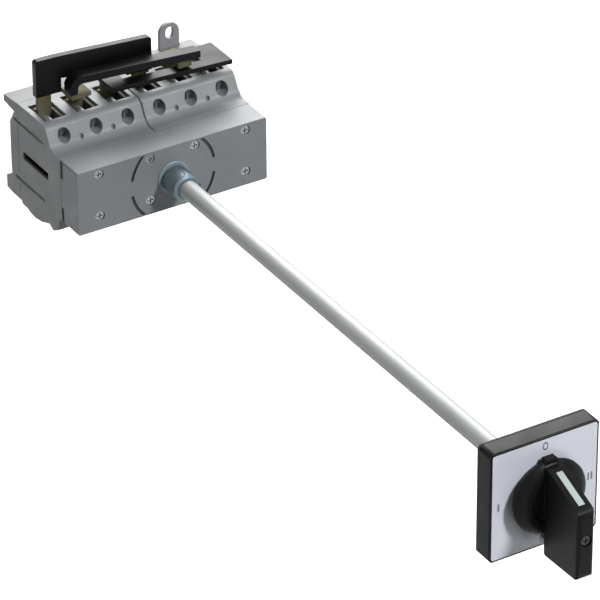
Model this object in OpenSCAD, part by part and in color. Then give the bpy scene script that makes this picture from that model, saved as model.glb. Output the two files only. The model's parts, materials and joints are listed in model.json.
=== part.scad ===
// Six-pole changeover switch I-0-II: two three-pole switches side by side behind one mechanism block,
// bridged by three insulated busbars, worked by a long extension shaft and a door-mounted handle.
// X runs across the poles, -Y points at the handle, +Z is up.
// The origin is on the shaft axis, in the rear mounting plane.

/* [Switch body] */
// Width of the whole switch across its six poles
body_w = 135; // [132:1:140]
// Depth from the mounting plane to the front of the mechanism block
body_depth = 93; // [92:0.5:96]
// Height of the front that passes through a panel cut-out
front_h = 44; // [43:0.5:45]
// Depth of the mechanism block in front of the two switches
block_depth = 21; // [21:0.5:22]
// Height of the body over both rows of terminals, above the shaft axis
terminal_top = 36.5; // [36:0.5:37.5]
// Diameter of the round seam in the front
round_seam_d = 59; // [56:1:60]

/* [Mechanism] */
// Teeth on the drive pinion
pinion_teeth = 10; // [10:1:10]
// Module of the pinion and rack
tooth_module = 0.8; // [0.8:0.05:0.8]
// Angle from off to either on position
throw_angle = 90; // [80:1:90]

/* [Shaft and handle] */
// Diameter of the extension shaft
rod_d = 12; // [12:0.5:12]
// Distance from the front of the block to the back of the door plate
reach = 397; // [300:1:420]
// Side of the square door plate
plate_side = 72; // [68:1:76]
// Depth of the door plate
plate_depth = 13.5; // [13:0.5:15]
// Diameter of the knob's round base
knob_d = 47.5; // [46:0.5:50]
// Depth of the grip in front of the door plate
grip_depth = 42; // [38:1:44]

/* [Busbars] */
// Thickness of the copper
bar_t = 3; // [2.5:0.1:3]
// Thickness of the insulating sleeve
sleeve_t = 1; // [0.8:0.1:1.1]
// Width of a bar's upright leg over its terminal
leg_w = 17.5; // [16:0.5:18]

/* [Hidden] */
$fn = 64;
eps = 0.01;
run = 0.05;
gap = 0.3;

poles = 3;
pitch = body_w / (2 * poles);
module_w = body_w / 2;
module_x = module_w / 2;
pole_offsets = [for (i = [0:poles - 1]) (i - (poles - 1) / 2) * pitch];
sides = [-1, 1];

front_y = -body_depth;
module_front = front_y + block_depth;
half_front = front_h / 2;
wall_foot_y = -61.5;
wall_top_y = -53;
fillet_r = 9;
round_r = 6;
terminal_bottom = 37;
base_split_y = -18;
base_top = 34.5;
base_bottom = -33;
rail_half = 19.2;
rail_depth = 7;
seat_half = 15.5;

chamber_half_x = 9.25;
chamber_half_z = 18;
chamber_front = module_front + 3;
slot_z = 2;
slot_h = 5;
slot_y0 = -55.6;
slot_y1 = -23.6;

pocket_half_x = 7.6;
pocket_y0 = -47.4;
pocket_y1 = -25.6;
pocket_floor = 20;
cage_z0 = 21;
cage_z1 = 34.5;
cage_wall = 2;
clamp_screw_z = 29;
clamp_screw_r = 3;
clamp_head_r = 4;
driver_hole_r = 4.4;
strip_t = 2.5;
strip_y1 = pocket_y1 - 0.4 - cage_wall;
strip_y0 = strip_y1 - strip_t;
tongue_w = 9.5;
tongue_y1 = strip_y0;
tongue_y0 = tongue_y1 - bar_t;
tongue_foot = 20.6;

pinion_r = pinion_teeth * tooth_module / 2;
travel = pinion_r * throw_angle * PI / 180;
addendum = 0.85 * tooth_module;
dedendum = 1.15 * tooth_module;
bridge_half_t = 1;
finger_x = travel + bridge_half_t + 0.12;
finger_t = 1.5;
bridge_y0 = -44;
bridge_y1 = -36;
carriage_y0 = slot_y0 + 1;
carriage_y1 = slot_y1 - 1;
carriage_half_z = slot_h / 2 - gap;
peg_z = 7.5;
peg_r = 1.5;

slide_y0 = -82;
slide_y1 = -77;
plate_y0 = module_front - 3;
journal_r = 2.9;
disc_y0 = -89.5;
disc_y1 = -84.5;
disc_r = 14.5;

shaft_r = rod_d / 2;
bush_front = front_y - 1.2;
bush_r = 11;
coupling_r = 9;
coupling_y0 = front_y - 18;
coupling_y1 = front_y - 1.5;
shaft_joint_y = front_y - 6;
coupling_screw_y = coupling_y0 + 4;

plate_back = front_y - reach;
plate_front = plate_back - plate_depth;
rod_tip = plate_front - 4.2;
pin_y = rod_tip + 6.5;
pin_r = 2;
hub_r = 13;
drive_r = 9.5;
face_side = plate_side - 2.4;
face_t = 1.2;
sleeve_front = plate_front - 6.4;
gasket_t = 1.5;
shell_back = plate_back - gasket_t;
clip_y = plate_back - 2.9;
grip_half_t = 5.5;
grip_back = 8.5;
grip_top = 21.8;
grip_nose = 9.8;
grip_slope = 12;
grip_screw_z = -9;
tab_half_t = 1.5;
tab_front = 20;
tab_top = -18;
tab_bottom = -35.3;

latch_half_w = 7;
latch_travel = 4;
latch_peg_z = -32;
spring_top_z = latch_peg_z + 12.4;
ear_x = 50.5;
ear_half_w = 7.2;
ear_top = 52;
ear_hole_z = 45;
screw_columns = [52, 16];
screw_rows = [16.9, -12.3];
cover_hole_r = 1.75;
cover_screw_r = 1.9;
cover_head_r = 3;

base_screw_x = pitch / 2;
base_screw_z = 23.6;

bar_foot = 45.5;
bar_leg = leg_w - 2 * sleeve_t;
sleeve_lift = 0.05;
rear_x0 = -61.25;
rear_x1 = 16.25;
rear_bend_x = -45;
rear_y = tongue_y0;
rear_lead = 4.5;
middle_x0 = -43;
middle_x1 = 41.6;
middle_y1 = -37.5;
middle_lead = 10.9;
middle_w = 6.5;
middle_top = 58;
middle_bend_r = 7.5;
middle_foot = 46;
tab_x0 = 29;
tab_x1 = 38.5;
tab_y0 = -51.4;
front_x0 = -16.2;
front_x1 = 64;
front_left_pad = 10;
front_bar_y = -49.7;
front_lead = 6.8;
front_run_w = 8.6;
front_bar_z0 = 43.9;
front_bar_z1 = front_bar_z0 + 2.2;

grey_shell = [0.47, 0.49, 0.51];
grey_cover = [0.50, 0.52, 0.54];
black_plastic = [0.07, 0.07, 0.07];
zinc = [0.78, 0.79, 0.80];
copper = [0.72, 0.43, 0.26];
silver_face = [0.80, 0.82, 0.86];

// Extrudes a (Y, Z) outline by len along X, centred.
module along_x(len) {
    rotate([90, 0, 90])
        translate([0, 0, -len / 2])
            linear_extrude(len)
                children();
}

// Extrudes an (X, Z) outline along Y from y0 to y1.
module along_y(y0, y1) {
    translate([0, y1, 0])
        rotate([90, 0, 0])
            linear_extrude(y1 - y0)
                children();
}

// Box between two corners.
module block(low, high) {
    translate(low)
        cube(high - low);
}

// Round bar along Y.
module rod_y(r, y0, y1) {
    translate([0, y1, 0])
        rotate([90, 0, 0])
            cylinder(r = r, h = y1 - y0);
}

// Round bar along X, centred.
module rod_x(r, len) {
    rotate([0, 90, 0])
        cylinder(r = r, h = len, center = true);
}

// Rectangle with round corners, centred.
module round_rect(w, h, r) {
    union() {
        square([w - 2 * r, h], center = true);
        square([w, h - 2 * r], center = true);
        for (sx = sides)
            for (sy = sides)
                translate([sx * (w / 2 - r), sy * (h / 2 - r)])
                    circle(r);
    }
}

// Slot outline with round ends, centred, lying along the first axis.
module stadium(len, w) {
    union() {
        square([len - w, w], center = true);
        for (s = sides)
            translate([s * (len - w) / 2, 0])
                circle(w / 2);
    }
}

// Repeats its child at every pole of both switches; mirrored for the left switch.
module at_poles() {
    for (s = sides)
        for (x = pole_offsets)
            translate([s * module_x + x, 0, 0])
                scale_x(s)
                    children();
}

// Mirrors its child across X when s is -1.
module scale_x(s) {
    if (s < 0)
        mirror([1, 0, 0]) children();
    else
        children();
}

// Mirrors its child across Z when s is -1.
module scale_z(s) {
    if (s < 0)
        mirror([0, 0, 1]) children();
    else
        children();
}

// Side outline of one switch: the ledge, the curved terminal wall above, the wire side below
// and the feet round the rail channel with its raised seat.
module switch_outline() {
    a = atan2(terminal_top - half_front, wall_top_y - wall_foot_y);
    t = fillet_r / tan((180 - a) / 2);
    u = round_r / tan((180 - a) / 2);
    bite = 0.02;
    difference() {
        union() {
            polygon([
                [module_front, half_front], [wall_foot_y - t, half_front],
                [wall_foot_y + t * cos(a), half_front + t * sin(a)],
                [wall_top_y - u * cos(a), terminal_top - u * sin(a)],
                [wall_top_y + u, terminal_top], [-30, terminal_top], [-20, terminal_top - 0.4],
                [0, base_top], [0, rail_half], [-rail_depth - 0.3, rail_half],
                [-rail_depth - 0.3, seat_half], [-rail_depth, seat_half],
                [-rail_depth, -seat_half], [-rail_depth - 0.3, -seat_half],
                [-rail_depth - 0.3, -rail_half], [0, -rail_half - 4],
                [0, base_bottom + 1], [-7, base_bottom], [-20, base_bottom],
                [-30, -terminal_bottom + 0.7], [-37, -terminal_bottom], [-46, -terminal_bottom + 1.7],
                [-55, -terminal_bottom + 5], [-60, -terminal_bottom + 2.5], [-67, -terminal_bottom + 6.5],
                [-69, -half_front], [module_front, -half_front]
            ]);
            translate([wall_top_y + u - bite, terminal_top - round_r + bite])
                circle(round_r);
        }
        translate([wall_foot_y - t + bite, half_front + fillet_r - bite])
            circle(fillet_r);
    }
}

// Room for one pole's contacts, with the way through for its terminal strips.
module pole_cavity() {
    block([-chamber_half_x, chamber_front, -chamber_half_z], [chamber_half_x, base_split_y + eps, chamber_half_z]);
    for (s = sides)
        scale_z(s) {
            block([-pocket_half_x, pocket_y0, pocket_floor], [pocket_half_x, pocket_y1, terminal_bottom + 1]);
            block([-5.2, strip_y0 - 0.1, chamber_half_z - eps], [5.2, strip_y1 + 0.1, pocket_floor + eps]);
            translate([0, 0, clamp_screw_z])
                rod_y(driver_hole_r, -75, pocket_y0 + eps);
        }
}

// Moulded front half of one switch, open at the back, with three poles side by side.
module switch_housing(s) {
    color(grey_shell)
        difference() {
            translate([s * module_x, 0, 0])
                intersection() {
                    along_x(module_w)
                        switch_outline();
                    block([-module_w, -100, -60], [module_w, base_split_y, 60]);
                }
            for (x = pole_offsets)
                translate([s * module_x + x, 0, 0])
                    pole_cavity();
            // The coupling slot runs through both side walls and both barriers.
            translate([s * module_x, (slot_y0 + slot_y1) / 2, slot_z])
                along_x(module_w + 2)
                    round_rect(slot_y1 - slot_y0, slot_h, 1.2);
            // Front slot for the drive peg.
            translate([s * module_x, 0, peg_z])
                along_y(module_front - 1, chamber_front + 1)
                    stadium(2 * (travel + peg_r) + 1.2, 2 * peg_r + 1.2);
            // Slot for the carriage's drive arm to sweep is the middle pole's own room.
            for (z = [23.3, -17.7])
                translate([s * body_w / 2, (-50 + -13) / 2, z])
                    cube([2.4, 37, 2.2], center = true);
            // Round dimple between neighbouring poles in the upper terminal wall.
            for (x = [-pitch / 2, pitch / 2])
                translate([s * module_x + x, 0, 26])
                    rod_y(1.5, -75, -57.8);
            // Pilot holes for the four screws that hold the base.
            for (x = [-1, 1])
                for (z = sides)
                    translate([s * module_x + x * base_screw_x, 0, z * base_screw_z])
                        rod_y(1.6, base_split_y - 6, base_split_y + 1);
            // Pilot holes for the mechanism block's screws.
            for (x = screw_columns)
                for (z = screw_rows)
                    translate([s * x, 0, z])
                        rod_y(1.6, module_front - 1, module_front + 2.2);
        }
}

module left_housing() {
    switch_housing(-1);
}

module right_housing() {
    switch_housing(1);
}

// Room in the base for the rail latch: a wide guide with a narrower mouth to the rear.
module latch_guide() {
    c = 0.25;
    block([-latch_half_w - c, -12 - c, -60], [latch_half_w + c, -7, -12]);
    block([-4.5 - c, -8, -60], [4.5 + c, 1, -12]);
}

// Rear half of one switch: closes the pole chambers and carries the rail hooks.
module switch_base(s) {
    color(grey_shell)
        difference() {
            union() {
                translate([s * module_x, 0, 0])
                    intersection() {
                        along_x(module_w)
                            switch_outline();
                        block([-module_w, base_split_y, -60], [module_w, 1, 60]);
                    }
                // Fixed hooks over the rail's upper edge.
                for (x = [-1, 1])
                    translate([s * module_x + x * 22, 0, 0])
                        block([-6, -5.7, 15.8], [6, -3.4, rail_half + eps]);
            }
            // Finger notch at the outer end of the upper foot.
            translate([s * (body_w / 2 - 4), 0, 0])
                along_x(8 + 2 * eps)
                    polygon([[1, 30], [-13, 28], [-rail_depth - 0.3, 19], [1, 19]]);
            translate([s * module_x, 0, 0])
                difference() {
                    latch_guide();
                    block([-2.3, -13, latch_peg_z - 2], [2.3, -8, latch_peg_z]);
                }
            // Seats for the base screws.
            for (x = [-1, 1])
                for (z = sides)
                    translate([s * module_x + x * base_screw_x, 0, z * base_screw_z]) {
                        rod_y(1.9, base_split_y - 1, 1);
                        rod_y(3.4, -9, 1);
                    }
            // Recess for the slotted ear on this switch.
            scale_z(s)
                block([s > 0 ? ear_x - ear_half_w - 0.1 : -ear_x - ear_half_w - 0.1, -3.1, 24],
                    [s > 0 ? ear_x + ear_half_w + 0.1 : -ear_x + ear_half_w + 0.1, 1, 60]);
            // Side groove carried on from the housing.
            for (z = [23.3, -17.7])
                translate([s * body_w / 2, (-50 + -13) / 2, z])
                    cube([2.4, 37, 2.2], center = true);
        }
}

module left_base() {
    switch_base(-1);
}

module right_base() {
    switch_base(1);
}

// Screw along Y with its head at the low end; recess is a straight slot or a cross.
module screw_y(r, head_r, head_t, len, cross = false) {
    difference() {
        union() {
            rod_y(r, -eps, len);
            rod_y(head_r, -head_t, 0);
        }
        block([-0.5, -head_t - 1, -head_r * (cross ? 0.7 : 2)],
            [0.5, -head_t * 0.45, head_r * (cross ? 0.7 : 2)]);
        if (cross)
            block([-head_r * 0.7, -head_t - 1, -0.5], [head_r * 0.7, -head_t * 0.45, 0.5]);
    }
}

module base_screws() {
    color(zinc)
        for (s = sides)
            for (x = [-1, 1])
                for (z = sides)
                    translate([s * module_x + x * base_screw_x, -9, z * base_screw_z])
                        rotate([0, 0, 180])
                            screw_y(1.55, 3.2, 2.2, 14.5, true);
}

// Bearing plate between the mechanism block and the two switches, with the slide's guides.
module mechanism_plate() {
    guide_x = 31;
    color(zinc)
        difference() {
            union() {
                along_y(plate_y0, module_front)
                    round_rect(body_w - 6, front_h - 6, 2);
                for (s = sides) {
                    block([s * guide_x - 7, slide_y0, 11.1], [s * guide_x + 7, plate_y0 + eps, 13.6]);
                    block([s * guide_x - 7, slide_y0, 2.4], [s * guide_x + 7, plate_y0 + eps, 4.9]);
                }
            }
            rod_y(journal_r + run, -100, -60);
            for (s = sides)
                translate([s * module_x, 0, peg_z])
                    along_y(-100, -60)
                        stadium(2 * (travel + peg_r) + 1.2, 2 * peg_r + 1.2);
            for (s = sides)
                for (x = screw_columns)
                    for (z = screw_rows)
                        translate([s * x, 0, z])
                            rod_y(cover_hole_r, -100, -60);
        }
}

// Moulded front block, open at the back.
module front_cover() {
    wall = 2.5;
    color(grey_cover)
        difference() {
            union() {
                difference() {
                    along_y(front_y, module_front)
                        round_rect(body_w, front_h, 1.6);
                    along_y(front_y + wall, module_front + 1)
                        round_rect(body_w - 2 * wall, front_h - 2 * wall, 1);
                }
                // Guides of the detent plungers.
                for (s = sides)
                    translate([s * 23.5, 0, 0])
                        block([-6, front_y + wall - eps, -3.4], [6, disc_y1, 3.4]);
                // Screw pillars.
                for (s = sides)
                    for (x = screw_columns)
                        for (z = screw_rows)
                            translate([s * x, 0, z])
                                rod_y(4.6, front_y + wall - eps, plate_y0);
            }
            // Round seam in four arcs, cut off by the upper and lower edges.
            intersection() {
                difference() {
                    rod_y(round_seam_d / 2 + 1, front_y - 1, front_y + 1);
                    rod_y(round_seam_d / 2 - 1, front_y - 2, front_y + 2);
                }
                for (z = sides)
                    scale_z(z)
                        block([-60, front_y - 2, 5], [60, front_y + 2, half_front - 1.2]);
            }
            rod_y(9.05, front_y - 1, front_y + wall + 1);
            for (s = sides)
                translate([s * (17 + 6), (disc_y0 + disc_y1) / 2, 0])
                    rod_x(2, 12);
            for (s = sides)
                for (x = screw_columns)
                    for (z = screw_rows)
                        translate([s * x, 0, z]) {
                            rod_y(cover_hole_r, front_y - 1, plate_y0 + 1);
                            rod_y(cover_head_r + 0.3, front_y - 1, front_y + 3.2);
                        }
            // Clip windows at the seam with the switches.
            for (s = sides)
                for (z = [15.5, -17.5])
                    block([s * body_w / 2 - 1.2, module_front - 3, z - 6], [s * body_w / 2 + 1.2, module_front + 1, z + 6]);
        }
}

// Flanged bearing of the shaft in the front block.
module shaft_bush() {
    color([0.55, 0.60, 0.64])
        rotate([90, 0, 0])
            rotate_extrude()
                polygon([
                    [shaft_r + run, body_depth - 3], [shaft_r + run, -bush_front],
                    [bush_r - 0.6, -bush_front], [bush_r, -bush_front - 0.6],
                    [bush_r, body_depth], [9, body_depth], [9, body_depth - 3]
                ]);
}

module cover_screws() {
    color(zinc)
        for (s = sides)
            for (x = screw_columns)
                for (z = screw_rows)
                    translate([s * x, front_y + 3.2, z])
                        screw_y(1.55, cover_head_r, 2.2, block_depth - 3.2 + 1.8, true);
}

// Steel cage that the clamp screw draws up on the wire.
module clamp_cage() {
    hx = pocket_half_x - 0.35;
    y0 = pocket_y0 + 0.4;
    y1 = pocket_y1 - 0.4;
    difference() {
        block([-hx, y0, cage_z0], [hx, y1, cage_z1]);
        block([-hx + cage_wall, y0 + cage_wall, cage_z0 - 1], [hx - cage_wall, y1 - cage_wall, cage_z1 + 1]);
        translate([0, 0, clamp_screw_z])
            rod_y(clamp_screw_r + run, y0 - 1, y0 + cage_wall + 1);
    }
}

module terminal_clamps(s) {
    color(zinc)
        at_poles()
            scale_z(s)
                clamp_cage();
}

module upper_clamps() {
    terminal_clamps(1);
}

module lower_clamps() {
    terminal_clamps(-1);
}

// Clamp screws; the upper ones bear on the busbar tongues, the lower ones are backed off.
module clamp_screws(s, tip_y) {
    color(zinc)
        at_poles()
            scale_z(s)
                translate([0, pocket_y0 - 1.2, clamp_screw_z])
                    screw_y(clamp_screw_r, clamp_head_r, 2.6, tip_y - pocket_y0 + 1.2);
}

module upper_clamp_screws() {
    clamp_screws(1, tongue_y0);
}

module lower_clamp_screws() {
    clamp_screws(-1, pocket_y0 + 5);
}

// Copper strip from the clamp into the chamber, ending in a finger beside the pole's wall.
module fixed_contact() {
    union() {
        block([-4.9, strip_y0, chamber_half_z - 6], [4.9, strip_y1, cage_z1 + 1]);
        block([-4.9, strip_y0, chamber_half_z - 6], [finger_x + finger_t, strip_y1, chamber_half_z - 0.3]);
        block([finger_x, bridge_y0 - 1.5, slot_z + 7], [finger_x + finger_t, strip_y1, chamber_half_z - 0.3]);
    }
}

module fixed_contacts(s) {
    color(copper)
        at_poles()
            scale_z(s)
                fixed_contact();
}

module upper_contacts() {
    fixed_contacts(1);
}

module lower_contacts() {
    fixed_contacts(-1);
}

// Straight tongue that drops into a terminal under a bar.
module tongue(x, top_z) {
    translate([x, 0, 0])
        block([-tongue_w / 2, tongue_y0, tongue_foot], [tongue_w / 2, tongue_y1, top_z]);
}

// Front view of the upright rear bar: a run between two legs; the run drops to the right by fall.
module bar_front_view(run_z, top_z, fall, grow) {
    x0 = rear_x0;
    x1 = rear_x1;
    z0 = grow > 0 ? bar_foot + sleeve_lift : bar_foot;
    c = 1.5;
    difference() {
        polygon([
            [x0 - grow, z0], [x0 - grow, top_z + grow - c], [x0 - grow + c, top_z + grow],
            [x1 + grow - c, top_z + grow - fall], [x1 + grow, top_z + grow - fall - c], [x1 + grow, z0]
        ]);
        polygon([
            [x0 + bar_leg + grow, bar_foot - 1], [x0 + bar_leg + grow, run_z - grow],
            [x1 - bar_leg - grow, run_z - grow - fall], [x1 - bar_leg - grow, bar_foot - 1]
        ]);
    }
}

// Plan of the rear bar: straight over the first pole, then leading forward.
module rear_plan(grow) {
    y = rear_y;
    lead = rear_lead;
    polygon([
        [rear_x0 - grow, y - grow], [rear_bend_x, y - grow], [rear_x1 + grow, y - lead - grow],
        [rear_x1 + grow, y - lead + bar_t + grow], [rear_bend_x, y + bar_t + grow],
        [rear_x0 - grow, y + bar_t + grow]
    ]);
}

// The rear bar's upright body, bare or grown by the sleeve.
module rear_bar_body(grow) {
    intersection() {
        linear_extrude(100)
            rear_plan(grow);
        along_y(-60, -20)
            bar_front_view(55.7, 70, 2.5, grow);
    }
}

// Foot that carries a bar's leg back over its terminal and the tongue that drops into it.
module bar_foot_tongue(x, y_front, z0, z1) {
    translate([x, 0, 0]) {
        block([-tongue_w / 2, y_front, z0], [tongue_w / 2, tongue_y1, z1]);
        block([-tongue_w / 2, tongue_y0, tongue_foot], [tongue_w / 2, tongue_y1, z1]);
    }
}

module rear_busbar() {
    color(copper) {
        rear_bar_body(0);
        bar_foot_tongue(-2.5 * pitch, rear_y, bar_foot - 2, bar_foot + eps);
        bar_foot_tongue(0.5 * pitch, rear_y - rear_lead * 0.8, bar_foot - 2.6, bar_foot + eps);
    }
}

module rear_bar_sleeve() {
    color(black_plastic)
        difference() {
            rear_bar_body(sleeve_t);
            rear_bar_body(0);
        }
}

// Front view of the middle bar: a flat run whose left end is bent down into a leg.
module middle_front_view(grow) {
    x = middle_x0 + middle_bend_r;
    z = middle_top - middle_bend_r;
    z0 = grow > 0 ? middle_foot + 1 : middle_foot;
    union() {
        translate([x, middle_top - bar_t - grow])
            square([middle_x1 + grow - x, bar_t + 2 * grow]);
        translate([middle_x0 - grow, z0])
            square([bar_t + 2 * grow, z - z0]);
        intersection() {
            difference() {
                translate([x, z])
                    circle(middle_bend_r + grow);
                translate([x, z])
                    circle(middle_bend_r - bar_t - grow);
            }
            translate([x - 20, z])
                square(20);
        }
    }
}

// Plan of the middle bar, leading forward to the right.
module middle_plan(grow) {
    polygon([
        [middle_x0 - grow, middle_y1 - middle_w - grow],
        [middle_x1 + grow, middle_y1 - middle_w - middle_lead - grow],
        [middle_x1 + grow, middle_y1 - middle_lead + grow], [middle_x0 - grow, middle_y1 + grow]
    ]);
}

// The middle bar's run and bent end, bare or grown by the sleeve.
module middle_bar_body(grow) {
    intersection() {
        linear_extrude(100)
            middle_plan(grow);
        along_y(-70, -20)
            middle_front_view(grow);
    }
}

module middle_busbar() {
    left = -1.5 * pitch;
    color(copper) {
        middle_bar_body(0);
        block([middle_x0, middle_y1 - middle_w - 0.3, middle_foot - bar_t],
            [left + tongue_w / 2, tongue_y1, middle_foot + eps]);
        bar_foot_tongue(left, tongue_y0, middle_foot - bar_t, middle_foot);
        // Tab and foot under the right end.
        block([tab_x0, tab_y0, front_bar_z1 + 1.5], [tab_x1, tab_y0 + bar_t, middle_top - bar_t + eps]);
        block([tab_x0, tab_y0, front_bar_z1 + 1.5], [tab_x1, tongue_y1, front_bar_z1 + 1.5 + bar_t]);
        block([tab_x0, tongue_y0, tongue_foot], [tab_x1, tongue_y1, front_bar_z1 + 1.5 + bar_t]);
    }
}

module middle_bar_sleeve() {
    color(black_plastic)
        difference() {
            middle_bar_body(sleeve_t);
            middle_bar_body(0);
            block([tab_x0 - run, tab_y0 - run, 50], [tab_x1 + run, tab_y0 + bar_t + run, middle_top - bar_t + eps]);
        }
}

// Front edge of the bare front bar at a given place along it.
function front_edge_y(x) = front_bar_y + sleeve_t - front_lead * (x - front_x0) / (front_x1 - front_x0);

// Plan of the flat front bar: a run along the terminals, leading forward, with a pad at each end.
module flat_bar_plan(grow) {
    run_w = front_run_w - 2 * sleeve_t;
    union() {
        polygon([
            [front_x0 - grow, front_edge_y(front_x0) - grow], [front_x1 + grow, front_edge_y(front_x1) - grow],
            [front_x1 + grow, front_edge_y(front_x1) + run_w + grow],
            [front_x0 - grow, front_edge_y(front_x0) + run_w + grow]
        ]);
        polygon([
            [front_x0 - grow, front_edge_y(front_x0) + 1 - grow],
            [front_x0 + front_left_pad + grow, front_edge_y(front_x0) + 1 - grow],
            [front_x0 + front_left_pad + grow, tongue_y1 + grow], [front_x0 - grow, tongue_y1 + grow]
        ]);
        polygon([
            [front_x1 - bar_leg - grow, front_edge_y(front_x1 - bar_leg) + 1 - grow],
            [front_x1 + grow, front_edge_y(front_x1) + 1 - grow],
            [front_x1 + grow, tongue_y1 + grow], [front_x1 - bar_leg - grow, tongue_y1 + grow]
        ]);
    }
}

module front_busbar() {
    color(copper) {
        translate([0, 0, front_bar_z0])
            linear_extrude(front_bar_z1 - front_bar_z0)
                flat_bar_plan(0);
        for (x = [-0.5 * pitch, 2.5 * pitch])
            bar_foot_tongue(x, tongue_y0, front_bar_z0, front_bar_z0 + eps);
    }
}

module front_bar_sleeve() {
    color(black_plastic)
        difference() {
            translate([0, 0, front_bar_z0 - sleeve_t / 2])
                linear_extrude(front_bar_z1 - front_bar_z0 + sleeve_t)
                    flat_bar_plan(sleeve_t);
            translate([0, 0, front_bar_z0])
                linear_extrude(front_bar_z1 - front_bar_z0)
                    flat_bar_plan(0);
            for (x = [-0.5 * pitch, 2.5 * pitch])
                bar_foot_tongue(x, tongue_y0, front_bar_z0 - 5, front_bar_z0 + eps);
        }
}

// Slotted ears at two opposite corners for screw mounting.
module mounting_ears() {
    slot_len = 8;
    slot_w = 5.3;
    color([0.62, 0.62, 0.61])
        for (s = sides)
            scale_z(s)
                translate([s * ear_x, 0, 0])
                    difference() {
                        along_y(-3, 0)
                            union() {
                                translate([-ear_half_w, 24.2])
                                    square([2 * ear_half_w, ear_top - ear_half_w - 24.2]);
                                translate([0, ear_top - ear_half_w])
                                    circle(ear_half_w);
                            }
                        along_y(-4, 1)
                            translate([0, ear_hole_z])
                                rotate(90)
                                    stadium(slot_len, slot_w);
                    }
}

// Plungers that press on the disc from left and right.
module detent_plungers() {
    tip = disc_r + 0.1;
    color(zinc)
        for (s = sides)
            translate([s * (tip + 4), (disc_y0 + disc_y1) / 2, 0])
                rod_x(1.9, 8);
}

module detent_springs() {
    turns = 6;
    wire_r = 0.45;
    coil_r = 1.9;
    color(zinc)
        for (s = sides)
            translate([s * (disc_r + 0.1 + 8), (disc_y0 + disc_y1) / 2, 0])
                rotate([0, s * 90, 0])
                    spring_rings(turns, wire_r, coil_r);
}

// Coil spring standing on the origin, as stacked rings.
module spring_rings(turns, wire_r, coil_r) {
    for (i = [0:turns - 1])
        translate([0, 0, wire_r + i * 1.92 * wire_r])
            rotate_extrude()
                translate([coil_r - wire_r, 0])
                    circle(wire_r, $fn = 24);
}

// Rail latch: a spring-loaded slider with a nose behind the rail and a driver eye below.
module rail_latch() {
    difference() {
        union() {
            block([-latch_half_w, -12, -45], [latch_half_w, -7.5, -16.2]);
            block([-4.5, -7.6, -32], [4.5, -3.4, -rail_half - 0.3]);
            along_x(9)
                polygon([[-5.7, -rail_half - 0.5], [-3.4, -rail_half - 0.5], [-3.4, -16.4], [-5, -15.9], [-5.7, -16.2]]);
        }
        block([-2.8, -13, latch_peg_z - 2 - latch_travel - 0.3], [2.8, -7.4, spring_top_z]);
        block([-3.5, -13, -43.4], [3.5, -6, -40.4]);
    }
}

module left_latch() {
    color(black_plastic)
        translate([-module_x, 0, 0])
            rail_latch();
}

module right_latch() {
    color(black_plastic)
        translate([module_x, 0, 0])
            rail_latch();
}

// Spring between the base's peg and the top of the latch's window.
module latch_spring() {
    translate([0, -9.9, latch_peg_z])
        spring_rings(13, 0.49, 2);
}

module left_latch_spring() {
    color(zinc)
        translate([-module_x, 0, 0])
            latch_spring();
}

module right_latch_spring() {
    color(zinc)
        translate([module_x, 0, 0])
            latch_spring();
}

// Outline of one rack tooth space, cut upwards from the slide's lower edge.
module rack_space() {
    flank = tan(24);
    half = PI * tooth_module / 4 + 0.09;
    polygon([
        [-half - addendum * flank, -addendum - eps], [half + addendum * flank, -addendum - eps],
        [half - dedendum * flank, dedendum], [-half + dedendum * flank, dedendum]
    ]);
}

// Toothed slide above the pinion; its two pegs reach back into the switches.
module changeover_slide() {
    slide_half = 43;
    rack_pitch = PI * tooth_module;
    color(zinc) {
        block([-slide_half, slide_y0, pinion_r + dedendum + 0.2], [slide_half, slide_y1, 11]);
        translate([0, slide_y1, pinion_r])
            rotate([90, 0, 0])
                linear_extrude(slide_y1 - slide_y0)
                    difference() {
                        translate([-5.5 * rack_pitch, -addendum])
                            square([11 * rack_pitch, addendum + dedendum + 0.3]);
                        for (i = [-5:5])
                            translate([i * rack_pitch, 0])
                                rack_space();
                    }
        for (s = sides)
            translate([s * module_x, 0, peg_z])
                rod_y(peg_r, slide_y1 - eps, -54.5);
    }
}

// Insulating carriage of one switch: a flat plate through the slots with a drive arm in the middle pole.
module carriage(s) {
    plate_half = 26.9;
    color([0.75, 0.72, 0.62])
        translate([s * module_x, 0, 0])
            difference() {
                union() {
                    block([-plate_half, carriage_y0, slot_z - carriage_half_z],
                        [plate_half, carriage_y1, slot_z + carriage_half_z]);
                    block([-2.7, -62, slot_z - carriage_half_z], [2.7, carriage_y0 + 4, 10.2]);
                }
                translate([0, 0, peg_z])
                    rod_y(peg_r + 0.02, -70, -54);
                for (x = pole_offsets)
                    translate([x, 0, 0])
                        block([-bridge_half_t - 0.9, bridge_y0 - 0.05, -10], [bridge_half_t + 0.02, bridge_y1 + 0.05, 10]);
            }
}

module left_carriage() {
    scale_x(-1)
        carriage(1);
}

module right_carriage() {
    carriage(1);
}

// Copper bridges that the carriages press between the upper and lower fingers of each pole.
module moving_bridges() {
    color(copper)
        at_poles()
            block([-bridge_half_t, bridge_y0, -chamber_half_z + 1.5], [bridge_half_t, bridge_y1, chamber_half_z - 1.5]);
}

// Leaf springs behind the bridges.
module bridge_springs() {
    color(zinc)
        at_poles()
            block([-bridge_half_t - 0.5, bridge_y0 + 1, slot_z - 6], [-bridge_half_t, bridge_y1 - 1, slot_z + 6]);
}

// Involute flank point at roll angle a degrees from base radius rb.
function involute(rb, a) = [rb * (cos(a) + a * PI / 180 * sin(a)), rb * (sin(a) - a * PI / 180 * cos(a))];

// Point p turned by angle a.
function turned(p, a) = [p[0] * cos(a) - p[1] * sin(a), p[0] * sin(a) + p[1] * cos(a)];

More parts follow.
